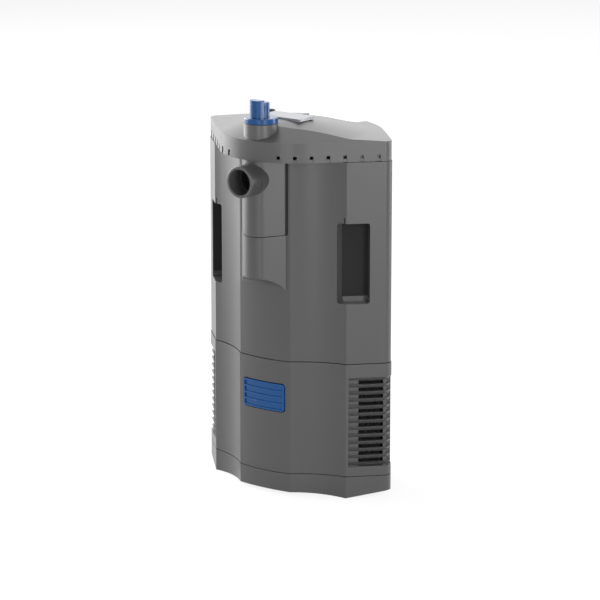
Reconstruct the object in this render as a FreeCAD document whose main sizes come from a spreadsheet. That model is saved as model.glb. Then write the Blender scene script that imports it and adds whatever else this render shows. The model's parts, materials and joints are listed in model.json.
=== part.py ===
import FreeCAD, Part
import math
import os
import Sketcher

# Internal corner filter, in millimetres.
# X runs to the right, -Y is the front with the outlet spout, +Z is up.
# The origin is on the floor under the middle of the overall box.

Vector = FreeCAD.Vector
Placement = FreeCAD.Placement
Rotation = FreeCAD.Rotation

SIZES = {
    # Plan of the housing, seen from above
    "corner_half": 62.8,
    "corner_line": 17.05,
    "nose_half": 24.0,
    "nose_edge": 36.05,
    "nose_bulge": 3.0,
    "hollow_round": 76.0,
    "bevel_run": 25.5,
    "side_round": 7.0,
    "back_round": 80.0,
    "cusp_half": 26.0,
    "notch_floor": 36.95,
    "notch_round": 10.0,
    "lid_overhang": 16.2,
    "prow_half": 21.0,
    "prow_step": 0.9,
    "prow_rise": 23.3,
    "prow_round": 13.5,
    # Heights of the seams
    "foot_top": 17.2,
    "lower_tall": 88.8,
    "upper_tall": 156.0,
    "tower_rise": 27.0,
    "seam_gap": 0.5,
    # Walls and fits
    "wall": 2.4,
    "lower_step": 0.5,
    "lid_step": 0.5,
    "tongue_wall": 2.0,
    "tongue_depth": 7.0,
    "slip": 0.3,
    # Foot
    "foot_arch": 2.8,
    "foot_rise": 5.5,
    "foot_floor": 6.5,
    "plinth_half": 52.0,
    "plinth_front": 14.0,
    "plinth_back": 33.0,
    "plinth_wall": 6.0,
    # Louvred inlets
    "grille_rise": 7.8,
    "grille_count": 12,
    "grille_pitch": 5.6,
    "slot_height": 2.3,
    "grille_start": 2.0,
    "slot_start": 10.0,
    "grille_wrap": 10.0,
    "louvre_recess": 0.5,
    "louvre_depth": 3.6,
    "louvre_slant": 35.0,
    # Release button
    "button_rise": 48.8,
    "button_tall": 21.4,
    "button_half": 19.3,
    "button_proud": 0.7,
    "button_deep": 3.2,
    "button_gap": 0.7,
    "button_travel": 3.0,
    "groove_deep": 0.9,
    "button_rim": 1.4,
    "chamber_half": 25.0,
    "chamber_deep": 17.0,
    "spring_round": 2.6,
    "spring_wire": 0.9,
    "spring_pitch": 2.0,
    # Grip pockets
    "pocket_rise": 47.0,
    "pocket_tall": 62.0,
    "pocket_front": 8.0,
    "pocket_along": 18.0,
    "pocket_deep": 10.0,
    "pocket_round": 2.0,
    # Prow and outlet
    "plate_drop": 57.4,
    "plate_droop": 1.4,
    "plate_trim": 0.6,
    "plate_clear": 1.0,
    "plate_seam": 0.5,
    "chin_drop": 42.9,
    "chin_rise": 9.7,
    "chin_reach": 16.5,
    "chin_round": 20.0,
    "spout_drop": 14.5,
    "spout_round": 12.0,
    "spout_bore": 9.85,
    "spout_reach": 6.6,
    "spout_shoulder": 0.4,
    "shoulder_lead": 0.6,
    "seal_seat": 0.5,
    "seal_wall": 2.0,
    # Lid
    "dome_line": 8.05,
    "dome_rise": 26.7,
    "dome_cap": 23.2,
    "dome_cap_drop": 2.5,
    "dome_foot": 57.0,
    "dome_foot_drop": 9.0,
    "dome_skirt": 65.0,
    "dome_skirt_drop": 10.1,
    "dome_side_drop": 11.9,
    "dome_blend": 50.0,
    "rim_rise": 15.0,
    "scoop_rise": 14.0,
    "scoop_reach": 36.0,
    "tower_round": 13.0,
    "window_size": 2.7,
    "window_rise": 4.0,
    "window_pitch": 12.7,
    "window_first": 80.0,
    "window_count": 7,
    "window_groove": 0.8,
    "badge_long": 37.0,
    "badge_wide": 19.0,
    "badge_line": 6.55,
    "badge_thick": 2.0,
    "gland_round": 3.2,
    "gland_back": 13.95,
    "gland_side": 31.0,
    "gland_tall": 3.5,
    # Flow knob and regulator
    "knob_round": 12.85,
    "knob_flange": 4.0,
    "grip_front": 9.5,
    "grip_step": 2.8,
    "grip_back": 6.5,
    "grip_half": 5.5,
    "grip_tall": 13.5,
    "fin_half": 3.3,
    "fin_tall": 10.5,
    "flute_round": 0.9,
    "spindle_round": 3.0,
    "spindle_slip": 0.1,
    "shutter_slip": 0.25,
    "shutter_wall": 1.4,
    "duct_clear": 0.5,
    "duct_wall": 1.6,
    # Pump
    "pump_line": 5.95,
    "deck_thick": 3.0,
    "volute_tall": 24.0,
    "volute_round": 24.0,
    "volute_wall": 2.0,
    "outlet_round": 9.0,
    "inlet_round": 8.0,
    "motor_drop": 10.0,
    "motor_tall": 52.0,
    "motor_half": 24.0,
    "rotor_round": 8.0,
    "rotor_gap": 0.6,
    "rotor_tall": 34.0,
    "impeller_round": 17.0,
    "impeller_tall": 12.0,
    "blade_count": 6,
    "blade_thick": 1.4,
    "shaft_round": 1.5,
    "shaft_slip": 0.05,
    "bush_round": 3.4,
    "bush_tall": 4.0,
    "strainer_round": 17.0,
    "strainer_tall": 27.0,
    "strainer_slots": 12,
    "screw_round": 1.5,
    "screw_head": 2.8,
    "screw_inset": 4.5,
    # Foams and suction cups
    "foam_gap": 1.2,
    "cup_round": 11.0,
    "cup_side": 46.2,
    "cup_standoff": 6.0,
    "cup_stud": 2.5,
    "lower_cup_rise": 40.8,
    "upper_cup_drop": 30.0,
}

HALF_ROOT = math.sqrt(0.5)
ROOT_TWO = math.sqrt(2.0)
UP = Vector(0, 0, 1)
TALL_CUT = 400.0
RIGHT_ANGLE = 90.0
HALF_TURN = 180.0

document = FreeCAD.newDocument("corner_filter")
sheet = document.addObject("Spreadsheet::Sheet", "sizes")
for row, (alias, value) in enumerate(SIZES.items(), start=1):
    sheet.set("A%d" % row, alias)
    sheet.set("B%d" % row, str(value))
    sheet.setAlias("B%d" % row, alias)
document.recompute()


class Size:
    """A length together with the formula that it is bound to."""

    def __init__(self, value, text):
        self.value = float(value)
        self.text = text

    def __add__(self, other):
        other = as_size(other)
        return Size(self.value + other.value, "(%s + %s)" % (self.text, other.text))

    def __sub__(self, other):
        other = as_size(other)
        return Size(self.value - other.value, "(%s - %s)" % (self.text, other.text))

    def __mul__(self, other):
        other = as_size(other)
        return Size(self.value * other.value, "(%s * %s)" % (self.text, other.text))

    def __truediv__(self, other):
        other = as_size(other)
        return Size(self.value / other.value, "(%s / %s)" % (self.text, other.text))

    def __radd__(self, other):
        return as_size(other) + self

    def __rsub__(self, other):
        return as_size(other) - self

    def __rmul__(self, other):
        return as_size(other) * self

    def __neg__(self):
        return Size(-self.value, "(-1 * %s)" % self.text)

    def root(self):
        return Size(math.sqrt(self.value), "sqrt(%s)" % self.text)


def as_size(number):
    if isinstance(number, Size):
        return number
    return Size(number, "%.9f" % number)


def size(alias):
    return Size(sheet.get(alias), "sizes." + alias)


# Basic features


def bind(item, name, length):
    item.setExpression(name, as_size(length).text)


def move(item, across=0.0, along=0.0, height=0.0):
    bind(item, "Placement.Base.x", across)
    bind(item, "Placement.Base.y", along)
    bind(item, "Placement.Base.z", height)


def add(kind, name):
    return document.addObject(kind, name)


def block(name, across, along, height):
    """A box between two bounds on each axis."""
    item = add("Part::Box", name)
    bind(item, "Length", across[1] - across[0])
    bind(item, "Width", along[1] - along[0])
    bind(item, "Height", height[1] - height[0])
    move(item, across[0], along[0], height[0])
    return item


def turned_block(name, lengths, turn, across, along, height):
    """A box with the given lengths, turned about Z and set at a point."""
    item = add("Part::Box", name)
    bind(item, "Length", lengths[0])
    bind(item, "Width", lengths[1])
    bind(item, "Height", lengths[2])
    item.Placement = Placement(Vector(), Rotation(UP, turn))
    move(item, across, along, height)
    return item


def post(name, radius, low, high, across=0.0, along=0.0):
    """An upright cylinder."""
    item = add("Part::Cylinder", name)
    bind(item, "Radius", radius)
    bind(item, "Height", high - low)
    move(item, across, along, low)
    return item


def front_pipe(name, radius, front, back, height, across=0.0):
    """A cylinder along Y, from the front bound to the back bound."""
    item = add("Part::Cylinder", name)
    bind(item, "Radius", radius)
    bind(item, "Height", back - front)
    item.Placement = Placement(Vector(), Rotation(Vector(1, 0, 0), -RIGHT_ANGLE))
    move(item, across, front, height)
    return item


def cut(name, base, tool):
    item = add("Part::Cut", name)
    item.Base = base
    item.Tool = tool
    item.Refine = True
    return item


def fuse(name, parts):
    item = add("Part::MultiFuse", name)
    item.Shapes = parts
    item.Refine = True
    return item


def joined(name, base, tools):
    """Adds several pieces to a base, one after another."""
    for number, tool in enumerate(tools, start=1):
        item = add("Part::Fuse", name if number == len(tools) else "%s_%d" % (name, number))
        item.Base = base
        item.Tool = tool
        item.Refine = False
        base = item
    return base


def common(name, parts):
    item = add("Part::MultiCommon", name)
    item.Shapes = parts
    item.Refine = True
    return item


def group(name, parts):
    item = add("Part::Compound", name)
    item.Links = parts
    return item


def mirrored(name, base):
    """The same piece on the other side of the middle plane."""
    item = add("Part::Mirroring", name)
    item.Source = base
    item.Normal = Vector(1, 0, 0)
    return item


def arc_between(start, end, radius, side):
    """The arc from one point to the next, bulging to the right for side 1 and left for side -1."""
    span = math.hypot(end[0] - start[0], end[1] - start[1])
    height = math.sqrt(radius * radius - span * span / 4)
    middle = ((start[0] + end[0]) / 2, (start[1] + end[1]) / 2)
    centre_x = middle[0] - side * (end[1] - start[1]) / span * height
    centre_y = middle[1] + side * (end[0] - start[0]) / span * height
    first = math.atan2(start[1] - centre_y, start[0] - centre_x)
    last = math.atan2(end[1] - centre_y, end[0] - centre_x)
    if side < 0:
        first, last = last, first
    circle = Part.Circle(Vector(centre_x, centre_y, 0), UP, radius)
    return Part.ArcOfCircle(circle, first, last)


def sketch(name, points, bends, frame=None):
    """A closed outline; bends gives the radius and side of each edge that is an arc."""
    item = add("Sketcher::SketchObject", name)
    if frame is not None:
        item.Placement = frame
    points = [(as_size(x), as_size(y)) for x, y in points]
    count = len(points)
    for index in range(count):
        start = (points[index][0].value, points[index][1].value)
        following = points[(index + 1) % count]
        end = (following[0].value, following[1].value)
        if index in bends:
            radius, side = bends[index]
            item.addGeometry(arc_between(start, end, as_size(radius).value, side))
        else:
            item.addGeometry(Part.LineSegment(Vector(*start, 0), Vector(*end, 0)))
    backward = {index for index, bend in bends.items() if bend[1] < 0}
    for index in range(count):
        after = (index + 1) % count
        end_vertex = 1 if index in backward else 2
        start_vertex = 2 if after in backward else 1
        link = Sketcher.Constraint("Coincident", index, end_vertex, after, start_vertex)
        item.addConstraint(link)
    for index, (x, y) in enumerate(points):
        vertex = 2 if index in backward else 1
        for axis, length in (("X", x), ("Y", y)):
            reach = Sketcher.Constraint("Distance" + axis, -1, 1, index, vertex, length.value)
            number = item.addConstraint(reach)
            item.setExpression("Constraints[%d]" % number, length.text)
    for index, (radius, side) in bends.items():
        radius = as_size(radius)
        number = item.addConstraint(Sketcher.Constraint("Radius", index, radius.value))
        item.setExpression("Constraints[%d]" % number, radius.text)
    face = add("Part::Face", name + "_face")
    face.Sources = [item]
    return face


def grown(name, face, distance):
    """The same outline, grown outwards or, for a negative distance, drawn inwards."""
    item = add("Part::Offset2D", name)
    item.Source = face
    bind(item, "Value", distance)
    return item


def raised(name, face, low, high):
    """An outline drawn up between two heights."""
    item = add("Part::Extrusion", name)
    item.Base = face
    item.DirMode = "Custom"
    item.Dir = UP
    item.Solid = True
    bind(item, "LengthFwd", high - low)
    bind(item, "Placement.Base.z", low)
    return item


def slab(name, face, distance, low, high):
    return raised(name, grown(name + "_outline", face, distance), low, high)


def ring(name, face, outer, inner, low, high):
    """A wall that follows an outline between two offsets."""
    over = 1.0
    outside = slab(name + "_outside", face, outer, low, high)
    inside = slab(name + "_inside", face, inner, low - over, high + over)
    return cut(name, outside, inside)


def swept_across(name, face, half):
    """A profile in the YZ plane, drawn out along X to both sides."""
    item = add("Part::Extrusion", name)
    item.Base = face
    item.DirMode = "Custom"
    item.Dir = Vector(1, 0, 0)
    item.Solid = True
    item.Symmetric = True
    bind(item, "LengthFwd", as_size(half) * 2)
    return item


def swept_along(name, face, front, back):
    """A profile in the XZ plane, drawn out along Y."""
    item = add("Part::Extrusion", name)
    item.Base = face
    item.DirMode = "Custom"
    item.Dir = Vector(0, 1, 0)
    item.Solid = True
    bind(item, "LengthFwd", as_size(back) - front)
    bind(item, "Placement.Base.y", front)
    return item


def softened(name, base, radius, choose):
    """Rounds the edges whose middle point passes the test."""
    document.recompute()
    item = add("Part::Fillet", name)
    item.Base = base
    chosen = []
    for number, edge in enumerate(base.Shape.Edges, start=1):
        middle = edge.valueAt((edge.FirstParameter + edge.LastParameter) / 2)
        if choose(edge, middle):
            chosen.append((number, radius.value, radius.value))
    item.Edges = chosen
    return item


def is_upright(edge):
    ends = [vertex.Point for vertex in edge.Vertexes]
    return len(ends) == 2 and (ends[0] - ends[1]).getAngle(UP) in (0.0, math.pi)


def node(name, item):
    item.Label = name
    nodes.append(item)
    return item


nodes = []
FRONT_VIEW = Placement(Vector(), Rotation(Vector(1, 0, 0), RIGHT_ANGLE))
SIDE_VIEW = Placement(Vector(), Rotation(Vector(1, 1, 1), HALF_TURN * 2 / 3))

# Plan outlines

corner_half = size("corner_half")
corner_line = size("corner_line")
side_x = corner_half + size("bevel_run")
side_y = size("bevel_run") - corner_line
side_cut = size("side_round") * HALF_ROOT
back_round = size("back_round")
back_middle = side_x + side_y - back_round * ROOT_TWO
back_tangent = back_round * HALF_ROOT
cusp_half = size("cusp_half")
cusp_line = back_middle + (back_round * back_round - cusp_half * cusp_half).root()
notch_floor = size("notch_floor")
notch_round = size("notch_round")
nose_half = size("nose_half")
nose_rise = size("nose_bulge")
nose_edge = size("nose_edge")
nose_front = nose_edge + nose_rise
nose_round = (nose_half * nose_half + nose_rise * nose_rise) / (nose_rise * 2)
lid_front = nose_front + size("lid_overhang")
prow_half = size("prow_half")
prow_rise = size("prow_rise")
prow_flank = (prow_half * prow_half + prow_rise * prow_rise).root()
prow_root = nose_edge + size("prow_step")
prow_peak = prow_root + prow_rise
column_line = prow_peak - size("prow_round") * prow_flank / prow_half


def back_points():
    """The sides and back, shared by the housing and the lid, from the right to the left."""
    right = [
        (side_x - side_cut, side_y - side_cut),
        (side_x - side_cut, side_y + side_cut),
        (back_tangent, back_middle + back_tangent),
        (cusp_half, cusp_line),
        (cusp_half, notch_floor + notch_round),
        (cusp_half - notch_round, notch_floor),
    ]
    return right + [(-x, y) for x, y in reversed(right)]


def back_bends(first):
    return {
        first: (size("side_round"), 1),
        first + 2: (back_round, 1),
        first + 4: (notch_round, -1),
        first + 6: (notch_round, -1),
        first + 8: (back_round, 1),
        first + 10: (size("side_round"), 1),
    }


def housing_outline():
    points = [
        (-nose_half, -nose_edge),
        (nose_half, -nose_edge),
        (corner_half, -corner_line),
    ]
    points += back_points()
    points.append((-corner_half, -corner_line))
    bends = {0: (nose_round, 1), 1: (size("hollow_round"), -1)}
    bends.update(back_bends(3))
    bends[len(points) - 1] = (size("hollow_round"), -1)
    return sketch("housing_plan", points, bends)


lid_diagonal = corner_half + corner_line
lid_round = (lid_diagonal - lid_front) / (ROOT_TWO - 1)
lid_tangent = lid_round * HALF_ROOT


def lid_outline():
    points = [
        (-lid_tangent, lid_tangent - lid_diagonal),
        (lid_tangent, lid_tangent - lid_diagonal),
    ]
    points += back_points()
    bends = {0: (lid_round, 1)}
    bends.update(back_bends(2))
    return sketch("lid_plan", points, bends)


def prow_outline():
    tangent = size("prow_round") * prow_rise / prow_half
    near_x = tangent * prow_half / prow_flank
    near_y = tangent * prow_rise / prow_flank - prow_peak
    inside = size("wall") * 2 - nose_edge
    points = [
        (-prow_half, -prow_root),
        (-near_x, near_y),
        (near_x, near_y),
        (prow_half, -prow_root),
        (prow_half, inside),
        (-prow_half, inside),
    ]
    return sketch("prow_plan", points, {1: (size("prow_round"), 1)})


housing_face = housing_outline()
lid_face = lid_outline()
prow_face = prow_outline()

wall = size("wall")
slip = size("slip")
half_seam = size("seam_gap") / 2
upper_skin = -size("lower_step")
upper_lining = upper_skin - wall
lower_lining = -wall - size("lower_step")

# Heights, each measured from the seam that carries it

housing_seam = size("foot_top") + size("lower_tall")
lid_seam = housing_seam + size("upper_tall")
grille_low = size("foot_top") + size("grille_rise")
button_low = size("foot_top") + size("button_rise")
cup_low = size("foot_top") + size("lower_cup_rise")
pocket_low = housing_seam + size("pocket_rise")
cup_high = lid_seam - size("upper_cup_drop")
plate_low = lid_seam - size("plate_drop")
chin_low = plate_low - size("chin_drop")
spout_height = lid_seam - size("spout_drop")
scoop_rim = lid_seam + size("rim_rise")
window_centre = lid_seam + size("window_rise")
dome_top = lid_seam + size("dome_rise")
badge_height = dome_top - slip
tower_top = lid_seam + size("tower_rise")
motor_top = lid_seam - size("motor_drop")
volute_top = motor_top - size("motor_tall")
volute_low = volute_top - size("volute_tall")
outlet_height = volute_low + size("volute_wall") + size("outlet_round") + slip
deck_low = volute_low - size("strainer_tall") - size("deck_thick")

# Places that follow from the column at the front

spout_mouth = prow_peak + size("spout_reach")
chamber_back = nose_front - size("chamber_deep")
duct_round = size("prow_round") - wall - size("duct_clear")
duct_low = outlet_height - size("outlet_round") - size("duct_wall") * 2
duct_top = spout_height + size("spout_round") + wall


# Foot


def foot_cover():
    top = size("foot_top") - half_seam
    skirt = ring("foot_skirt", housing_face, 0, lower_lining, 0, top)
    floor_high = size("foot_floor") + wall
    floor = slab("foot_plate", housing_face, -wall, size("foot_floor"), floor_high)
    tongue_out = lower_lining - slip
    tongue_in = tongue_out - size("tongue_wall")
    tongue = ring("foot_tongue", housing_face, tongue_out, tongue_in,
                  size("foot_floor"), top + size("tongue_depth") / 2)
    link = ring("foot_link", housing_face, -wall, tongue_in, floor_high - wall, top)
    plinth_x = size("plinth_half")
    plinth_y = (-size("plinth_front"), size("plinth_back"))
    plinth_high = (as_size(0), size("foot_floor") + wall / 2)
    band = size("plinth_wall")
    plinth_out = block("plinth_outside", (-plinth_x, plinth_x), plinth_y, plinth_high)
    plinth_in = block("plinth_inside", (band - plinth_x, plinth_x - band),
                      (plinth_y[0] + band, plinth_y[1] - band), plinth_high)
    plinth = cut("plinth", softened("plinth_round", plinth_out, band, lambda e, m: is_upright(e)),
                 plinth_in)
    reach = side_x + wall
    slope = size("foot_rise") / size("bevel_run")
    arch = size("foot_arch")
    arch_round = (corner_half * corner_half + arch * arch) / (arch * 2)
    below = -wall
    profile = sketch("foot_edge", [
        (-reach, below),
        (reach, below),
        (reach, slope * (reach - corner_half)),
        (corner_half, 0),
        (-corner_half, 0),
        (-reach, slope * (reach - corner_half)),
    ], {3: (arch_round, 1)}, FRONT_VIEW)
    under = swept_along("foot_under", profile, -reach, reach)
    trimmed = cut("foot_trimmed", fuse("foot_shell", [skirt, floor, tongue, link]), under)
    node("foot_cover", fuse("foot_cover", [trimmed, plinth]))


# Lower housing with the louvred inlets


def corner_box(name, start, end, outer, inner, low, high):
    """A box set square to the right bevel, measured from the front corner along it and inwards."""
    across = corner_half + (start - outer) * HALF_ROOT
    along = (start + outer) * HALF_ROOT - corner_line
    return turned_block(name, (end - start, inner - outer, high - low), 45.0, across, along, low)


def both_sides(name, item):
    return group(name, [item, mirrored(name + "_left", item)])


def louvres():
    pitch = size("grille_pitch")
    blade = pitch - size("slot_height")
    recess = -size("louvre_recess")
    count = int(size("grille_count").value)
    outline = grown("louvre_outline", housing_face, recess)
    blades = []
    for index in range(count + 1):
        top = grille_low + pitch * index + blade
        item = add("Part::Extrusion", "louvre_%02d" % index)
        item.Base = outline
        item.DirMode = "Custom"
        item.Dir = -UP
        item.Solid = True
        bind(item, "LengthFwd", blade)
        bind(item, "TaperAngle", -size("louvre_slant"))
        bind(item, "Placement.Base.z", top)
        blades.append(item)
    stack = group("louvre_stack", blades)
    high = grille_low + pitch * count + blade
    core = slab("louvre_core", housing_face, recess - size("louvre_depth"),
                grille_low - 1, high + 1)
    return cut("louvre_rings", stack, core), high


def lower_housing():
    low = size("foot_top") + half_seam
    top = housing_seam - half_seam
    shell = ring("lower_wall", housing_face, 0, lower_lining, low, top)
    rings, grille_high = louvres()
    bevel = size("bevel_run") * ROOT_TWO
    start = size("grille_start")
    end = bevel + size("side_round")
    deep = size("grille_wrap")
    clear = as_size(-wall * 2)
    opening = both_sides("grille_opening", corner_box("grille_box", start, end, clear, deep,
                                                      grille_low, grille_high))
    bands = common("louvre_bands", [rings, both_sides("louvre_zone", corner_box(
        "louvre_box", start, end, clear, deep, grille_low, grille_high))])
    outer = wall
    inner = size("louvre_recess") + size("louvre_depth") - slip
    bar = (grille_low - wall, grille_high + wall / 4)
    fillet = bevel - size("side_round")
    mullions = both_sides("mullions", fuse("mullion_bars", [
        corner_box("front_mullion", start - wall, size("slot_start"), outer, inner, *bar),
        corner_box("side_mullion", fillet, fillet + wall, outer, inner, *bar),
        corner_box("back_mullion", bevel - inner, bevel - outer, deep - wall, deep + wall, *bar)]))
    seal_high = housing_seam - size("tongue_depth") - slip
    seal_low = seal_high - wall
    ledge = ring("gasket_ledge", housing_face, lower_lining + wall / 2,
                 lower_lining - size("tongue_wall") - slip * 2, seal_low - wall, seal_low)
    chamber, voids = button_chamber()
    walls = cut("lower_shell", fuse("lower_and_chamber", [shell, chamber]),
                fuse("lower_voids", voids + [opening] + cup_holes("lower", cup_low)))
    node("lower_housing", joined("lower_housing", walls, [bands, mullions, ledge]))
    node("housing_seal", ring("housing_seal", housing_face, lower_lining - slip / 2,
                              lower_lining - size("tongue_wall"), seal_low + slip / 10, seal_high))


button_middle = button_low + size("button_tall") / 2
socket_wall = 1.6


def button_chamber():
    """A box behind the nose wall that guides the button and keeps the foam off it."""
    half = size("chamber_half")
    back = -chamber_back
    low = button_low - wall * 2
    high = button_low + size("button_tall") + wall * 2
    front = -nose_front
    outside = common("chamber_outside", [
        block("chamber_box", (-half, half), (front, back), (low, high)),
        slab("chamber_limit", housing_face, -wall / 2, low - 1, high + 1)])
    socket = front_pipe("spring_socket", size("spring_round") + slip + socket_wall,
                        back - wall, back + size("button_travel") + wall, button_middle)
    inner = block("chamber_void", (wall - half, half - wall), (front + wall, back - wall),
                  (low + wall, high - wall))
    clipped = common("chamber_clip", [
        inner, slab("chamber_inside", housing_face, lower_lining, low, high)])
    gap = size("button_gap")
    edge = size("button_half") + gap
    aperture = block("button_aperture", (-edge, edge), (front - wall, front + wall * 3),
                     (button_low - gap, button_low + size("button_tall") + gap))
    rounded = softened("button_aperture_round", aperture, size("button_rim") * 2,
                       lambda e, m: is_along_y(e))
    hole = front_pipe("spring_hole", size("spring_round") + slip, back - wall * 2,
                      back + size("button_travel") + slip, button_middle)
    clear = cut("chamber_clear", clipped, socket)
    return fuse("chamber_walls", [outside, socket]), [clear, rounded, hole]


def is_along_y(edge):
    ends = [vertex.Point for vertex in edge.Vertexes]
    run = ends[-1] - ends[0]
    return len(ends) == 2 and abs(run.x) + abs(run.z) < 0.001


# Release button


def release_button():
    low = button_low
    high = low + size("button_tall")
    half = size("button_half")
    proud = size("button_proud")
    deep = size("button_deep")
    curve_out = slab("button_curve", housing_face, proud, low - 1, high + 1)
    curve_in = slab("button_back", housing_face, -deep, low - 2, high + 2)
    front = -nose_front - proud * 2
    body = block("button_body", (-half, half), (front, -nose_edge + deep * 2), (low, high))
    body = softened("button_round", body, size("button_rim") * 3 / 2, lambda e, m: is_along_y(e))
    shell = cut("button_shell", common("button_face", [body, curve_out]), curve_in)
    rim = size("button_rim")
    bands = 4
    pitch = (size("button_tall") - rim) / bands
    sunk = slab("button_sunk", housing_face, proud - size("groove_deep"), low - 2, high + 2)
    grooves = []
    for index in range(bands):
        groove_low = low + rim + pitch * index
        grooves.append(block("button_groove_%d" % index, (rim - half, half - rim),
                             (front, -nose_edge), (groove_low, groove_low + pitch - rim)))
    dips = cut("button_dips", group("button_grooves", grooves), sunk)
    stem_front = -nose_front + deep - slip
    stem = front_pipe("button_stem", size("spring_round") - size("spring_wire") - slip,
                      stem_front, stem_front + spring_length() / 2, button_middle)
    guide_x = half - wall
    hooks = []
    for sign, label in ((-1, "left"), (1, "right")):
        edges = sorted((sign * guide_x, sign * (guide_x - wall)), key=lambda each: each.value)
        hooks.append(block("button_guide_" + label, edges,
                           (-nose_edge, -nose_edge + deep * 2),
                           (low + wall, high - wall)))
    whole = fuse("button_whole", [shell, stem] + hooks)
    node("release_button", cut("release_button", whole, dips))


def spring_length():
    """The coil's length from the back of the button to the end of the socket."""
    front = -nose_front + size("button_deep") + slip
    return -chamber_back + size("button_travel") - size("spring_wire") - front


def button_spring():
    """A compression coil round the button's stem, with its back end in the socket."""
    front = -nose_front + size("button_deep") + slip
    coil = add("Part::Helix", "spring_path")
    bind(coil, "Radius", size("spring_round") - size("spring_wire") / 2)
    bind(coil, "Pitch", size("spring_pitch"))
    bind(coil, "Height", spring_length())
    coil.Placement = Placement(Vector(), Rotation(Vector(1, 0, 0), -RIGHT_ANGLE))
    move(coil, 0.0, front + size("spring_wire") / 2, button_middle)
    wire = add("Part::Circle", "spring_section")
    bind(wire, "Radius", size("spring_wire") / 2)
    move(wire, size("spring_round") - size("spring_wire") / 2,
         front + size("spring_wire") / 2, button_middle)
    sweep = add("Part::Sweep", "button_spring")
    sweep.Sections = [wire]
    sweep.Spine = (coil, [])
    sweep.Solid = True
    sweep.Frenet = True
    node("button_spring", sweep)


# Upper housing


def pocket_points(extra):
    """The grip pocket in plan, on the right; extra grows it into its liner."""
    front_x = corner_half - size("pocket_front") - extra
    deep = (size("pocket_deep") + extra) * HALF_ROOT
    along = (size("pocket_along") + extra) * HALF_ROOT
    inner_y = front_x - lid_diagonal + deep * 2
    return [
        (front_x, -nose_front),
        (corner_half + along * 2, along * 2 - corner_line - size("nose_half")),
        (corner_half + along + deep, along - corner_line - deep),
        (corner_half + along - deep, along - corner_line + deep),
        (front_x, inner_y),
    ]


def grip_pocket():
    low = pocket_low
    high = low + size("pocket_tall")
    void_face = sketch("pocket_plan", pocket_points(as_size(0)), {})
    void = raised("pocket_prism", void_face, low, high)
    void = softened("pocket_void", void, size("pocket_round"),
                    lambda e, m: edge_on_wall(e, m))
    liner_face = sketch("liner_plan", pocket_points(wall * 4 / 5), {})
    liner = raised("pocket_liner", liner_face, low - wall * 4 / 5, high + wall * 4 / 5)
    return both_sides("pocket_voids", void), both_sides("pocket_liners", liner)


def edge_on_wall(edge, middle):
    """True for the level edges of the pocket's front wall and back wall."""
    if is_upright(edge):
        return False
    front_wall = abs(middle.x - (corner_half - size("pocket_front")).value) < 0.01
    ends = [vertex.Point for vertex in edge.Vertexes]
    run = (ends[-1] - ends[0]).normalize()
    across_bevel = abs(run.x + run.y) < 0.01 and middle.x > corner_half.value
    return front_wall or across_bevel


def chin_cutter(name, lift):
    """Everything under the cove that ends the prow."""
    root = -prow_root
    start = chin_low + lift
    reach = size("chin_reach")
    far = reach * 3 / 2
    steep = size("chin_rise") + start
    below = start - prow_peak
    profile = sketch(name + "_profile", [
        (root + wall * 3, below),
        (root + wall * 3, start - wall),
        (root, start),
        (root - reach, steep),
        (root - far, steep + wall / 4),
        (root - far, below),
    ], {2: (size("chin_round"), 1)}, SIDE_VIEW)
    return swept_across(name, profile, nose_half + wall)


def seam_cutter(name, drop):
    """Everything above the drooping seam under the outlet plate."""
    level = plate_low - drop
    droop = size("plate_droop")
    half = prow_half + size("plate_clear")
    bow = (half * half + droop * droop) / (droop * 2)
    top = lid_seam + size("tongue_depth") + wall
    profile = sketch(name + "_profile", [
        (-half, level), (half, level), (half, top), (-half, top),
    ], {0: (bow, 1)}, FRONT_VIEW)
    return swept_along(name, profile, -prow_peak, -nose_edge + wall * 3)


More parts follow.
